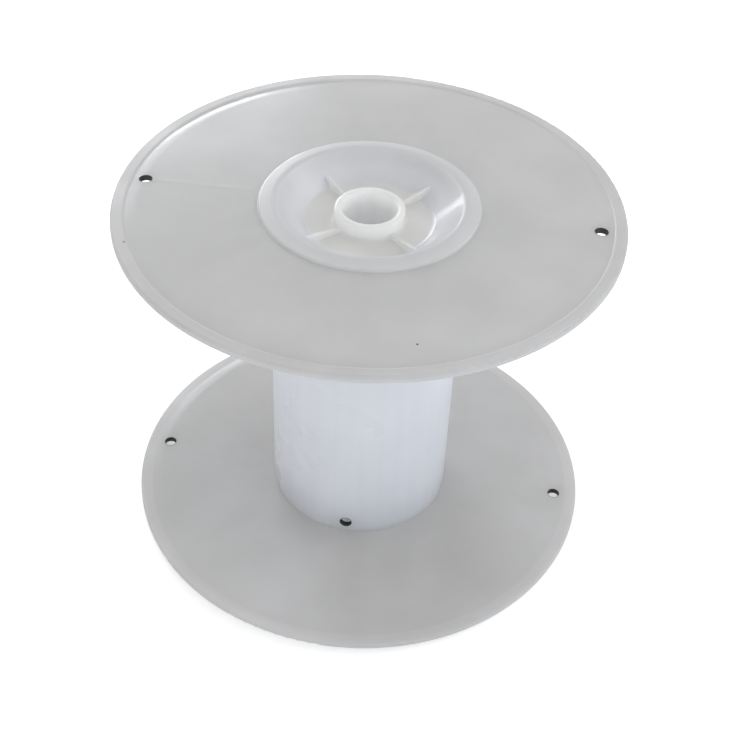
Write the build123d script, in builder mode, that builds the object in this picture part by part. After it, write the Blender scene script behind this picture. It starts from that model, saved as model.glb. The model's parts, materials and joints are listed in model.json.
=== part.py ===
"""Empty plastic line spool: a plain barrel with one flange moulding on each end.

Millimetres, +Z up along the spindle axis, origin on the axis in the plane the spool stands on.
The rim holes lie along X and the line-start hole faces -Y.
"""

import math
import os

from build123d import *

# Driving sizes of the whole spool
flange_diameter = 200.0
winding_width = 145.0  # between the flanges' inner faces
barrel_diameter = 78.0
bore_diameter = 22.0  # spindle hole through each hub

# Barrel
barrel_wall = 2.4
start_hole_diameter = 5.0  # the line's end is knotted through it
start_hole_height = 5.2  # its centre above the lower flange's inner face

# Flange disc. Heights are measured outwards from the face that the line lies against
disc_edge_thickness = 2.4
disc_root_thickness = 3.1
lip_height = 3.0
lip_width = 5.2
lip_slope = 0.6
lip_top_round = 1.2
lip_inner_round = 0.8
face_edge_round = 0.8
rim_hole_diameter = 5.0
rim_hole_inset = 10.2  # from the rim in to the hole's centre

# Raised ring round the mouth of the well
ring_outer_inset = 4.4  # outwards from the barrel's surface
ring_edge_height = 4.2
ring_crest_height = 5.2
ring_flat_width = 1.8
ring_crest_round = 2.0
ring_edge_round = 0.7
ring_foot_round = 0.5
mouth_inset = 2.2  # inwards from the barrel's surface
mouth_round = 1.8

# Dished well
well_depth = 9.7  # from the ring's crest down to the floor
well_wall_run = 11.5  # how far its wall slopes in, from the mouth to the floor
well_wall = 2.4
well_corner_round = 3.0

# Hub and its ribs
hub_wall = 3.0
hub_length = 26.0
hub_sink = 3.5  # from the ring's crest down to the hub's top
hub_top_round = 1.3
hub_end_round = 0.5
hub_foot_round = 1.0
rib_count = 4
rib_thickness = 1.6
rib_wall_height = 4.5  # above the well's floor, where it meets the sloping wall
rib_hub_height = 1.5  # above the well's floor, at the hub
rib_top_round = 0.4
rib_start_angle = 45.0

# Spigot that centres the flange inside the barrel
spigot_clearance = 0.15
spigot_wall = 2.35
spigot_length = 14.0
spigot_end_round = 0.8
spigot_root_round = 1.5

# Places worked out from those sizes
flange_radius = flange_diameter / 2
barrel_radius = barrel_diameter / 2
barrel_bore_radius = barrel_radius - barrel_wall
bore_radius = bore_diameter / 2
hub_radius = bore_radius + hub_wall
hub_top = ring_crest_height - hub_sink
hub_end = hub_top - hub_length
lip_inner_radius = flange_radius - lip_width
rim_hole_spacing = flange_diameter - 2 * rim_hole_inset
ring_outer_radius = barrel_radius + ring_outer_inset
mouth_radius = barrel_radius - mouth_inset
spigot_outer_radius = barrel_bore_radius - spigot_clearance
spigot_inner_radius = spigot_outer_radius - spigot_wall
lower_face = ring_crest_height
upper_face = lower_face + winding_width

# The well's sloping wall, and the parallel line of its underside
well_floor = ring_crest_height - well_depth
well_floor_radius = mouth_radius - well_wall_run
well_slope = well_wall_run / well_depth
wall_run = well_wall * math.sqrt(1 + well_slope**2)
under_floor = well_floor - well_wall
under_floor_radius = well_floor_radius - well_slope * well_wall + wall_run
under_wall_top = well_floor + (spigot_inner_radius - well_floor_radius - wall_run) / well_slope


def well_radius(height):
    """Radius of the well's sloping wall at a height."""
    return well_floor_radius + (height - well_floor) * well_slope


def is_sloping(edge):
    """True for an edge that is neither upright nor level, as only the ribs' top edges are."""
    rise = abs((edge % 0.5).Z)
    return 0.01 < rise < 0.99


# Each corner of the flange's section is (radius from the axis, height, corner rounding)
flange_section = [
    (bore_radius, hub_top, hub_top_round),
    (hub_radius, hub_top, hub_top_round),
    (hub_radius, well_floor, hub_foot_round),
    (well_floor_radius, well_floor, well_corner_round),
    (mouth_radius, ring_crest_height, mouth_round),
    (mouth_radius + ring_flat_width, ring_crest_height, ring_crest_round),
    (ring_outer_radius, ring_edge_height, ring_edge_round),
    (ring_outer_radius, disc_root_thickness, ring_foot_round),
    (lip_inner_radius, disc_edge_thickness, lip_inner_round),
    (lip_inner_radius + lip_slope, lip_height, lip_inner_round),
    (flange_radius, lip_height, lip_top_round),
    (flange_radius, 0, face_edge_round),
    (spigot_outer_radius, 0, 0),
    (spigot_outer_radius, -spigot_length, spigot_end_round),
    (spigot_inner_radius, -spigot_length, spigot_end_round),
    (spigot_inner_radius, under_wall_top, spigot_root_round),
    (under_floor_radius, under_floor, well_corner_round),
    (hub_radius, under_floor, hub_foot_round),
    (hub_radius, hub_end, hub_end_round),
    (bore_radius, hub_end, hub_end_round),
]

# A rib runs from the middle of the hub's wall to the middle of the well's sloping wall
rib_wall_top = well_floor + rib_wall_height
rib_hub_top = well_floor + rib_hub_height
rib_root = well_floor - well_wall / 2
rib_inner_end = bore_radius + hub_wall / 2
rib_outline = [
    (rib_inner_end, rib_root),
    (well_radius(rib_root) + wall_run / 2, rib_root),
    (well_radius(rib_wall_top) + wall_run / 2, rib_wall_top),
    (rib_inner_end, rib_hub_top),
]

# The flange moulding stands on its inner face, with the well opening upwards
with BuildPart() as flange:
    with BuildSketch(Plane.XZ):
        with BuildLine():
            FilletPolyline(
                [(radius, height) for radius, height, rounding in flange_section],
                radius=[rounding for radius, height, rounding in flange_section],
                close=True,
            )
        make_face()
    revolve(axis=Axis.Z)
    for number in range(rib_count):
        turn = rib_start_angle + number * 360 / rib_count
        with BuildSketch(Plane.XZ.rotated((0, 0, turn))):
            with BuildLine():
                Polyline(rib_outline, close=True)
            make_face()
        extrude(amount=rib_thickness / 2, both=True)
    straight_edges = flange.edges().filter_by(GeomType.LINE)
    fillet(straight_edges.filter_by(is_sloping), rib_top_round)
    with Locations(Plane.XY.offset(lip_height)):
        with GridLocations(rim_hole_spacing, 1, 2, 1):
            Hole(rim_hole_diameter / 2, depth=2 * lip_height)
    with BuildSketch(Plane.XZ.offset(spigot_inner_radius - spigot_wall / 2)):
        with Locations((0, -start_hole_height)):
            Circle(start_hole_diameter / 2)
    extrude(amount=2 * spigot_wall, mode=Mode.SUBTRACT)

# Barrel, with the start hole near its lower end
with BuildPart() as barrel:
    with BuildSketch(Plane.XY.offset(lower_face)):
        Circle(barrel_radius)
        Circle(barrel_bore_radius, mode=Mode.SUBTRACT)
    extrude(amount=winding_width)
    with BuildSketch(Plane.XZ.offset(barrel_bore_radius - barrel_wall / 2)):
        with Locations((0, lower_face + start_hole_height)):
            Circle(start_hole_diameter / 2)
    extrude(amount=2 * barrel_wall, mode=Mode.SUBTRACT)

os.makedirs("parts", exist_ok=True)
barrel.part.label = "barrel"
export_step(barrel.part, "parts/barrel.step")

# The same moulding closes both ends: as made on top, and turned over about Y below
flange_places = {
    "upper_flange": Location((0, 0, upper_face)),
    "lower_flange": Location((0, 0, lower_face), (0, 180, 0)),
}
for name, place in flange_places.items():
    placed = flange.part.moved(place)
    placed.label = name
    export_step(placed, f"parts/{name}.step")
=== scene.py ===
import json
import math

import bpy
from mathutils import Matrix, Vector

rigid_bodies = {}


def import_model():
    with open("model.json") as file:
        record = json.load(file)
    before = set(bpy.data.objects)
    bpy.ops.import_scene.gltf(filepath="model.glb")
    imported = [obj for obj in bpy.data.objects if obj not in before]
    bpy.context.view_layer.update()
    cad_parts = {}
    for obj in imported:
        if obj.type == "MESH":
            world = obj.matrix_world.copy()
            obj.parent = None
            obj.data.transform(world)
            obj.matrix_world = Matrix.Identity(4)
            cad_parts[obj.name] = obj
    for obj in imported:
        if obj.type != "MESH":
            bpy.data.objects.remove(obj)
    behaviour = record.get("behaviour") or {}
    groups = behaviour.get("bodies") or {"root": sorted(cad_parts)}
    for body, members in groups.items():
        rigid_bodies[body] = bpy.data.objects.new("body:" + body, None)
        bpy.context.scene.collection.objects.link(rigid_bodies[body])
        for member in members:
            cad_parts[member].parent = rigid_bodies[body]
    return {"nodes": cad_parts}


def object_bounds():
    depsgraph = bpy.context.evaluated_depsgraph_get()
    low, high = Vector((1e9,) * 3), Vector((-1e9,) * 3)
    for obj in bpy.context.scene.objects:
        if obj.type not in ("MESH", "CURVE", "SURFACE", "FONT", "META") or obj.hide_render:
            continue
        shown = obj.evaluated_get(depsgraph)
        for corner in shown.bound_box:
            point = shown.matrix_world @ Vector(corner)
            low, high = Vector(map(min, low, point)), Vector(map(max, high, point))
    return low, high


for leftover in list(bpy.data.objects):
    bpy.data.objects.remove(leftover)

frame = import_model()
nodes = frame["nodes"]
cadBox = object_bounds()
boxLow, boxHigh = cadBox
spoolRadius = (boxHigh.x - boxLow.x) / 2
spoolHeight = boxHigh.z - boxLow.z
spoolCentre = (boxLow + boxHigh) / 2
barrelRadius = nodes["barrel"].dimensions.x / 2
print("spool loaded, radius", round(spoolRadius, 4), "height", round(spoolHeight, 4),
      "barrel radius", round(barrelRadius, 4))


def turned(azimuth, elevation):
    # the way out from the spool: azimuth 0 is the front, 90 the right
    a = math.radians(azimuth)
    e = math.radians(elevation)
    return Vector((math.sin(a) * math.cos(e), -math.cos(a) * math.cos(e), math.sin(e)))


# Node helpers. A value can be a plain number or colour, or another node's socket

def newMaterial(name):
    material = bpy.data.materials.new(name)
    material.use_nodes = True
    material.node_tree.nodes.clear()
    return material


def addNode(tree, kind, **settings):
    node = tree.nodes.new(kind)
    for key, value in settings.items():
        setattr(node, key, value)
    return node


def feed(tree, socket, value):
    if isinstance(value, bpy.types.NodeSocket):
        tree.links.new(value, socket)
    else:
        socket.default_value = value


def maths(tree, operation, first, second=0.0):
    node = addNode(tree, "ShaderNodeMath", operation=operation)
    feed(tree, node.inputs[0], first)
    feed(tree, node.inputs[1], second)
    return node.outputs[0]


def noise(tree, where, scale, detail=2.0):
    node = addNode(tree, "ShaderNodeTexNoise")
    feed(tree, node.inputs["Vector"], where)
    feed(tree, node.inputs["Scale"], scale)
    feed(tree, node.inputs["Detail"], detail)
    return node.outputs["Fac"]


def spread(tree, value, fromLow, fromHigh, toLow=0.0, toHigh=1.0):
    # eased at both ends, so that no edge shows where it stops
    node = addNode(tree, "ShaderNodeMapRange", interpolation_type="SMOOTHSTEP")
    for name, amount in (("Value", value), ("From Min", fromLow), ("From Max", fromHigh),
                         ("To Min", toLow), ("To Max", toHigh)):
        feed(tree, node.inputs[name], amount)
    return node.outputs["Result"]


def mixColour(tree, amount, first, second, blend="MIX"):
    # inputs 6 and 7 and output 2 are the node's colour ones
    node = addNode(tree, "ShaderNodeMix", data_type="RGBA", blend_type=blend)
    feed(tree, node.inputs[0], amount)
    feed(tree, node.inputs[6], first)
    feed(tree, node.inputs[7], second)
    return node.outputs[2]


def bumpUp(tree, height, distance, strength, below=None):
    node = addNode(tree, "ShaderNodeBump")
    feed(tree, node.inputs["Height"], height)
    feed(tree, node.inputs["Distance"], distance)
    feed(tree, node.inputs["Strength"], strength)
    if below is not None:
        feed(tree, node.inputs["Normal"], below)
    return node.outputs["Normal"]


def bell(tree, value, width):
    # 1 where value is 0, falling away on both sides
    steps = maths(tree, "DIVIDE", value, width)
    return maths(tree, "EXPONENT", maths(tree, "MULTIPLY", maths(tree, "MULTIPLY", steps, steps), -1.0))


def vector(tree, x, y, z):
    node = addNode(tree, "ShaderNodeCombineXYZ")
    for socket, value in zip(node.inputs, (x, y, z)):
        feed(tree, socket, value)
    return node.outputs[0]


def roundPlace(tree):
    # where a point is, with its distance from the spindle axis and its turn round it
    place = addNode(tree, "ShaderNodeTexCoord").outputs["Object"]
    split = addNode(tree, "ShaderNodeSeparateXYZ")
    feed(tree, split.inputs[0], place)
    x, y, z = split.outputs
    squares = maths(tree, "ADD", maths(tree, "MULTIPLY", x, x), maths(tree, "MULTIPLY", y, y))
    return {"place": place, "x": x, "y": y, "z": z,
            "radius": maths(tree, "SQRT", squares), "turn": maths(tree, "ARCTAN2", y, x)}


def stretchedNoise(tree, along, across, third):
    # noise drawn out into marks, by scaling each direction before it is fed in
    return noise(tree, vector(tree, along, across, third), 1.0, detail=3.0)


def holeShadeMask(tree, across, along, look):
    # 1 inside a small hole, 0 outside, from the two distances to its centre: where painted shade
    # darkens the hole
    squares = maths(tree, "ADD", maths(tree, "MULTIPLY", across, across),
                    maths(tree, "MULTIPLY", along, along))
    fadesBy = look["holeRadius"] * look["holeFade"]
    return spread(tree, maths(tree, "SQRT", squares), look["holeRadius"], fadesBy, 1.0, 0.0)


def specks(tree, place, look):
    # the odd dark fleck moulded in: a few cells of a fine pattern hold one, the rest none
    cells = addNode(tree, "ShaderNodeTexVoronoi")
    feed(tree, cells.inputs["Vector"], place)
    feed(tree, cells.inputs["Scale"], look["speckScale"])
    chosen = addNode(tree, "ShaderNodeSeparateColor")
    feed(tree, chosen.inputs[0], cells.outputs["Color"])
    rare = maths(tree, "GREATER_THAN", chosen.outputs[0], 1.0 - look["speckShare"])
    core = look["speckSize"] * look["speckCore"]
    small = spread(tree, cells.outputs["Distance"], core, look["speckSize"], 1.0, 0.0)
    return maths(tree, "MULTIPLY", rare, small)


# Both plastics end here: a glossy shell that lets some light on through the wall
def plasticShader(tree, look, colour, roughness, normal):
    shell = addNode(tree, "ShaderNodeBsdfPrincipled")
    feed(tree, shell.inputs["Base Color"], colour)
    feed(tree, shell.inputs["Roughness"], roughness)
    feed(tree, shell.inputs["Normal"], normal)
    feed(tree, shell.inputs["IOR"], look["ior"])
    through = addNode(tree, "ShaderNodeBsdfTranslucent")
    feed(tree, through.inputs["Color"], colour)
    feed(tree, through.inputs["Normal"], normal)
    wall = addNode(tree, "ShaderNodeMixShader")
    feed(tree, wall.inputs[0], look["letsThrough"])
    tree.links.new(shell.outputs[0], wall.inputs[1])
    tree.links.new(through.outputs[0], wall.inputs[2])
    out = addNode(tree, "ShaderNodeOutputMaterial")
    tree.links.new(wall.outputs[0], out.inputs["Surface"])


# Flanges: thin discs that pass light and look greyer; the hub, the well and the ring round its mouth
# are painted whiter than the disc, painted light for the glow through the thin plastic. Sizes in metres
flangeLook = {
    # hub, well floor, slope and ring: painted light, whiter than the disc; the slope's blue and the
    # well floor's warm tint are painted lamp colour
    "hubPaintedLightColour": (0.975, 0.975, 0.97, 1.0),
    "floorColour": (0.94, 0.935, 0.915, 1.0),
    "slopePaintedLightColour": (0.935, 0.938, 0.952, 1.0),
    "ringPaintedLightColour": (0.87, 0.87, 0.87, 1.0),
    "discColour": (0.725, 0.722, 0.721, 1.0),
    "lipColour": (0.735, 0.73, 0.73, 1.0),
    "hubRadius": 0.0150,
    "floorRadius": 0.0253,
    "mouthRadius": barrelRadius - 0.0022,
    "ringRadius": barrelRadius + 0.0044,
    "lipRadius": spoolRadius - 0.0050,
    "outerSide": spoolHeight / 2 - 0.0039,   # further than this from mid height is the outer side
    "sideFade": 0.0003,
    "zoneFade": 0.0006,                      # half the width over which one colour runs into the next
    "cloudTint": (0.96, 0.96, 0.955, 1.0),
    "cloudScale": 24.0,
    "cloudRange": (0.3, 0.7),
    "flowTint": (0.975, 0.975, 0.975, 1.0),
    "flowScale": 5.0,
    "flowStretch": 12.0,                     # higher makes the streaks shorter outwards
    "flowRange": (0.35, 0.7),
    "roughness": (0.15, 0.24),
    "roughnessRange": (0.35, 0.65),
    "ringExtra": 0.25,                       # how much rougher the ring's crest and the lip are
    "lipExtra": 0.3,
    "ringRound": 0.0012,                     # the crest's rounded outer edge
    "scuffsOut": 900.0,                      # per metre outwards
    "scuffsRound": 0.8,                      # per radian round
    "scuffRange": (0.62, 0.78),
    "scuffExtra": 0.08,
    "scuffDepth": 0.00002,
    "scuffStrength": 0.6,
    "grainScale": 900.0,
    "grainDepth": 0.00002,
    "grainStrength": 0.3,
    "knitWidth": 0.0011,
    "knitHeight": 0.000035,
    "sinkWidth": 0.0052,                     # the disc droops a little on its way out to the lip
    "sinkDepth": 0.00055,                    # how far down it is where the lip starts
    "holeOut": spoolRadius - 0.0102,
    "holeRadius": 0.0025,
    "holeFade": 1.15,
    # near black: painted shade for the holes, and the real colour of the flecks
    "holeShadeAndFleckColour": (0.045, 0.042, 0.038, 1.0),
    "speckScale": 70.0,
    "speckShare": 0.035,
    "speckSize": 0.035,
    "speckCore": 0.6,
    "letsThrough": 0.52,
    "ior": 1.49,
}


def makeFlangePlastic(look):
    material = newMaterial("flangePlastic")
    tree = material.node_tree
    spot = roundPlace(tree)
    place = spot["place"]
    radius = spot["radius"]
    turn = spot["turn"]

    def beyond(edge, fade):
        # 0 nearer in than this radius, 1 further out
        return spread(tree, radius, edge - fade, edge + fade)

    # the ring stands on the outer sides only
    fromMiddle = maths(tree, "ABSOLUTE", maths(tree, "SUBTRACT", spot["z"], spoolCentre.z))
    outside = spread(tree, fromMiddle, look["outerSide"] - look["sideFade"],
                     look["outerSide"] + look["sideFade"])

    # colour by how far out a point is; the whiter hub, well and ring tones are painted light
    fade = look["zoneFade"]
    colour = look["hubPaintedLightColour"]
    for edge, nextColour in (("hubRadius", "floorColour"), ("floorRadius", "slopePaintedLightColour"),
                             ("mouthRadius", "ringPaintedLightColour")):
        colour = mixColour(tree, beyond(look[edge], fade), colour, look[nextColour])
    pastMouth = beyond(look["mouthRadius"], fade)
    innerDisc = maths(tree, "MULTIPLY", pastMouth, maths(tree, "SUBTRACT", 1.0, outside))
    onDisc = maths(tree, "MAXIMUM", beyond(look["ringRadius"], fade), innerDisc)
    colour = mixColour(tree, onDisc, colour, look["discColour"])
    onLip = beyond(look["lipRadius"], fade)
    colour = mixColour(tree, onLip, colour, look["lipColour"])

    # soft clouds, and streaks left by the plastic flowing out from the hub
    clouds = noise(tree, place, look["cloudScale"], detail=3.0)
    colour = mixColour(tree, spread(tree, clouds, *look["cloudRange"]), colour, look["cloudTint"],
                       "MULTIPLY")
    rays = vector(tree, maths(tree, "COSINE", turn), maths(tree, "SINE", turn),
                  maths(tree, "MULTIPLY", radius, look["flowStretch"]))
    flow = noise(tree, rays, look["flowScale"], detail=4.0)
    streaks = maths(tree, "MULTIPLY", spread(tree, flow, *look["flowRange"]), onDisc)
    colour = mixColour(tree, streaks, colour, look["flowTint"], "MULTIPLY")

    # rubbed marks that follow the turn, as on anything stacked and spun
    tracks = stretchedNoise(tree, maths(tree, "MULTIPLY", radius, look["scuffsOut"]),
                            maths(tree, "MULTIPLY", turn, look["scuffsRound"]), spot["z"])
    scuffs = spread(tree, tracks, *look["scuffRange"])

    # painted shade in the two small holes, and a few dark flecks moulded in
    across = maths(tree, "SUBTRACT", maths(tree, "ABSOLUTE", spot["x"]), look["holeOut"])
    holeShadeAndFlecks = maths(tree, "MAXIMUM", holeShadeMask(tree, across, spot["y"], look), specks(tree, place, look))
    colour = mixColour(tree, holeShadeAndFlecks, colour, look["holeShadeAndFleckColour"])

    # uneven gloss, duller on the scuffs, the ring's crest and the lip
    uneven = maths(tree, "MULTIPLY", maths(tree, "ADD", clouds, flow), 0.5)
    roughness = spread(tree, uneven, *look["roughnessRange"], *look["roughness"])
    crestEnd = spread(tree, radius, look["ringRadius"] - look["ringRound"],
                      look["ringRadius"] - look["ringRound"] / 2, 1.0, 0.0)
    onCrest = maths(tree, "MULTIPLY", maths(tree, "MULTIPLY", pastMouth, outside), crestEnd)
    for worn, extra in ((scuffs, "scuffExtra"), (onCrest, "ringExtra"), (onLip, "lipExtra")):
        roughness = maths(tree, "ADD", roughness, maths(tree, "MULTIPLY", worn, look[extra]))

    # relief: grain, scuffs, the knit line from each small hole in to the ring, the droop to the lip
    normal = bumpUp(tree, noise(tree, place, look["grainScale"]), look["grainDepth"],
                    look["grainStrength"])
    normal = bumpUp(tree, maths(tree, "MULTIPLY", scuffs, -1.0), look["scuffDepth"],
                    look["scuffStrength"], normal)
    knit = maths(tree, "MULTIPLY", bell(tree, spot["y"], look["knitWidth"]), onDisc)
    normal = bumpUp(tree, knit, look["knitHeight"], 1.0, normal)
    # halfway over where the lip starts, so twice the height puts that edge one sinkDepth down
    sink = maths(tree, "MULTIPLY", beyond(look["lipRadius"], look["sinkWidth"]), -2.0)
    normal = bumpUp(tree, sink, look["sinkDepth"], 1.0, normal)
    plasticShader(tree, look, colour, roughness, normal)
    return material


# Barrel: a plain tube, a little bluer and whiter than the flanges. Sizes in metres
barrelLook = {
    "colour": (0.88, 0.89, 0.91, 1.0),
    "cloudTint": (0.97, 0.97, 0.975, 1.0),
    "cloudScale": 18.0,
    "cloudRange": (0.3, 0.7),
    "drawTint": (0.985, 0.985, 0.99, 1.0),
    "drawScale": 9.0,
    "drawRange": (0.4, 0.6),
    "roughness": (0.26, 0.36),
    "rubsUp": 1400.0,                        # per metre up
    "rubsRound": 0.6,                        # per radian round
    "rubRange": (0.6, 0.78),
    "rubExtra": 0.08,
    "rubDepth": 0.00002,
    "rubStrength": 0.5,
    "grainScale": 900.0,
    "grainDepth": 0.00002,
    "grainStrength": 0.3,
    "holeHeight": 0.0104,                    # the line starts at a hole in the front, near the foot
    "holeFront": (-0.03, -0.02),             # only this side of the tube has it
    "holeRadius": 0.0025,
    "holeFade": 1.15,
    # near black: painted shade for the hole, and the real colour of the flecks
    "holeShadeAndFleckColour": (0.045, 0.042, 0.038, 1.0),
    "speckScale": 60.0,
    "speckShare": 0.02,
    "speckSize": 0.03,
    "speckCore": 0.6,
    "letsThrough": 0.52,
    "ior": 1.49,
}


def makeBarrelPlastic(look):
    material = newMaterial("barrelPlastic")
    tree = material.node_tree
    spot = roundPlace(tree)
    place = spot["place"]
    turn = spot["turn"]
    clouds = noise(tree, place, look["cloudScale"], detail=3.0)
    colour = mixColour(tree, spread(tree, clouds, *look["cloudRange"]), look["colour"],
                       look["cloudTint"], "MULTIPLY")

    # faint upright bands from the way the tube was drawn
    roundTube = vector(tree, maths(tree, "COSINE", turn), maths(tree, "SINE", turn), spot["z"])
    bands = noise(tree, roundTube, look["drawScale"], detail=4.0)
    colour = mixColour(tree, spread(tree, bands, *look["drawRange"]), colour, look["drawTint"],
                       "MULTIPLY")

    # rubbed rings where line has been wound on and off
    rings = stretchedNoise(tree, maths(tree, "MULTIPLY", turn, look["rubsRound"]),
                           maths(tree, "MULTIPLY", spot["z"], look["rubsUp"]), 0.0)
    rubs = spread(tree, rings, *look["rubRange"])

    # painted shade in the small hole, and a few dark flecks moulded in
    atHole = holeShadeMask(tree, spot["x"], maths(tree, "SUBTRACT", spot["z"], look["holeHeight"]), look)
    inFront = spread(tree, spot["y"], *look["holeFront"], 1.0, 0.0)
    holeShadeAndFlecks = maths(tree, "MAXIMUM", maths(tree, "MULTIPLY", atHole, inFront), specks(tree, place, look))
    colour = mixColour(tree, holeShadeAndFlecks, colour, look["holeShadeAndFleckColour"])

    roughness = maths(tree, "ADD", spread(tree, clouds, *look["cloudRange"], *look["roughness"]),
                      maths(tree, "MULTIPLY", rubs, look["rubExtra"]))
    normal = bumpUp(tree, noise(tree, place, look["grainScale"]), look["grainDepth"],
                    look["grainStrength"])
    normal = bumpUp(tree, maths(tree, "MULTIPLY", rubs, -1.0), look["rubDepth"], look["rubStrength"],
                    normal)
    plasticShader(tree, look, colour, roughness, normal)
    return material


flangePlastic = makeFlangePlastic(flangeLook)
for name in ("lower_flange", "upper_flange"):
    nodes[name].data.materials[0] = flangePlastic
nodes["barrel"].data.materials[0] = makeBarrelPlastic(barrelLook)
print("plastics assigned to", len(nodes), "pieces")

# Camera. Outward, upward and the clips are in flange radii, the angles in degrees
cameraSet = {
    "azimuth": 7.43,
    "outward": 4.2444,
    "upward": 4.5094,
    "tiltDown": 42.0,
    "panLeft": -0.09,
    "roll": 2.39,
    "lens": 65.28,
    "sensor": 36.0,
    "nearClip": 0.05,
    "farClip": 200.0,
}


def addCamera(settings):
    data = bpy.data.cameras.new("camera")
    data.lens = settings["lens"]
    data.sensor_width = settings["sensor"]
    data.clip_start = settings["nearClip"] * spoolRadius
    data.clip_end = settings["farClip"] * spoolRadius
    camera = bpy.data.objects.new("camera", data)
    bpy.context.scene.collection.objects.link(camera)
    place = turned(settings["azimuth"], 0) * settings["outward"] * spoolRadius
    place.z = settings["upward"] * spoolRadius
    spin = Matrix.Rotation(math.radians(settings["azimuth"] + settings["panLeft"]), 4, "Z")
    tilt = Matrix.Rotation(math.radians(90 - settings["tiltDown"]), 4, "X")
    roll = Matrix.Rotation(math.radians(settings["roll"]), 4, "Z")
    camera.matrix_world = Matrix.Translation(place) @ spin @ tilt @ roll
    bpy.context.scene.camera = camera


addCamera(cameraSet)
print("camera placed")

# Lamps. Sizes and distances are in flange radii, light is what a facing white card gets
lampSet = {
    "keyRight": {"azimuth": 38, "elevation": 12, "distance": 12, "width": 14, "height": 7,
                 "light": 0.37, "colour": (0.84, 0.91, 1.0)},
    "fillLeft": {"azimuth": -50, "elevation": 6, "distance": 12, "width": 8, "height": 7,
                 "light": 0.20, "colour": (1.0, 0.97, 0.93)},
    "windowRight": {"azimuth": 108, "elevation": 30, "distance": 12, "width": 9, "height": 7,
                    "light": 0.30, "colour": (1.0, 1.0, 1.0)},
    "windowBehind": {"azimuth": 210, "elevation": 25, "distance": 14, "width": 8, "height": 4.5,
                     "light": 0.21, "colour": (0.90, 0.95, 1.0)},
    "paneBehind": {"azimuth": 212, "elevation": 18, "distance": 14, "width": 7, "height": 2.0,
                   "light": 0.30, "colour": (0.93, 0.96, 1.0)},
    "windowLeft": {"azimuth": 252, "elevation": 11, "distance": 12, "width": 5, "height": 4,
                   "light": 0.06, "colour": (1.0, 1.0, 1.0)},
}


def addLamp(name, settings):
    data = bpy.data.lights.new(name, "AREA")
    data.shape = "RECTANGLE"
    data.size = settings["width"] * spoolRadius
    data.size_y = settings["height"] * spoolRadius
    data.color = settings["colour"]
    reach = settings["distance"] * spoolRadius
    data.energy = settings["light"] * math.pi ** 2 * reach ** 2   # fades with the square of the reach
    lamp = bpy.data.objects.new(name, data)
    bpy.context.scene.collection.objects.link(lamp)
    way = turned(settings["azimuth"], settings["elevation"])
    lamp.location = spoolCentre + way * reach
    lamp.rotation_mode = "QUATERNION"
    lamp.rotation_quaternion = (-way).to_track_quat("-Z", "Y")


for name, settings in lampSet.items():
    addLamp(name, settings)


def whereSeen(tree):
    # 1 on rays that show the background itself: straight, mirrored, or through something clear
    rays = addNode(tree, "ShaderNodeLightPath")
    seen = maths(tree, "MAXIMUM", rays.outputs["Is Camera Ray"], rays.outputs["Is Glossy Ray"])
    return maths(tree, "MAXIMUM", seen, rays.outputs["Is Transmission Ray"])


studioSet = {
    "roomColour": (1.0, 1.0, 1.0, 1.0),
    "roomLight": 0.30,                       # at the horizon
    "ceilingLight": 0.66,                    # straight overhead
    "floorReach": 60,                        # lengths here are in flange radii
    "floorColour": (0.9, 0.9, 0.9, 1.0),
    "nearBy": 2,
    "nearWhite": 0.40,                       # how white the floor shows near the spool
    "farOff": 14,
    "farWhite": 0.75,
}


def addRoom(settings):
    world = bpy.data.worlds.new("studio")
    bpy.context.scene.world = world
    world.use_nodes = True
    tree = world.node_tree
    tree.nodes.clear()
    way = addNode(tree, "ShaderNodeSeparateXYZ")
    feed(tree, way.inputs[0], addNode(tree, "ShaderNodeTexCoord").outputs["Generated"])
    light = spread(tree, way.outputs[2], 0.0, 1.0, settings["roomLight"], settings["ceilingLight"])
    sky = addNode(tree, "ShaderNodeBackground")
    feed(tree, sky.inputs["Strength"], maths(tree, "MAXIMUM", light, whereSeen(tree)))
    feed(tree, sky.inputs["Color"], settings["roomColour"])
    out = addNode(tree, "ShaderNodeOutputWorld")
    tree.links.new(sky.outputs[0], out.inputs["Surface"])


def addFloor(settings):
    reach = settings["floorReach"] * spoolRadius
    mesh = bpy.data.meshes.new("floor")
    corners = [(-reach, -reach), (reach, -reach), (reach, reach), (-reach, reach)]
    mesh.from_pydata([(x, y, boxLow.z) for x, y in corners], [], [(0, 1, 2, 3)])
    floor = bpy.data.objects.new("floor", mesh)
    bpy.context.scene.collection.objects.link(floor)
    paint = newMaterial("floorPaint")
    tree = paint.node_tree
    matt = addNode(tree, "ShaderNodeBsdfDiffuse")
    feed(tree, matt.inputs["Color"], settings["floorColour"])
    glow = addNode(tree, "ShaderNodeEmission")
    white = spread(tree, roundPlace(tree)["radius"], settings["nearBy"] * spoolRadius,
                   settings["farOff"] * spoolRadius, settings["nearWhite"], settings["farWhite"])
    feed(tree, glow.inputs["Strength"], maths(tree, "MULTIPLY", whereSeen(tree), white))
    both = addNode(tree, "ShaderNodeAddShader")
    tree.links.new(matt.outputs[0], both.inputs[0])
    tree.links.new(glow.outputs[0], both.inputs[1])
    out = addNode(tree, "ShaderNodeOutputMaterial")
    tree.links.new(both.outputs[0], out.inputs["Surface"])
    mesh.materials.append(paint)


addRoom(studioSet)
addFloor(studioSet)
bpy.context.scene.view_settings.view_transform = "Standard"
print("lamps, room and floor added")

print("scene ready")
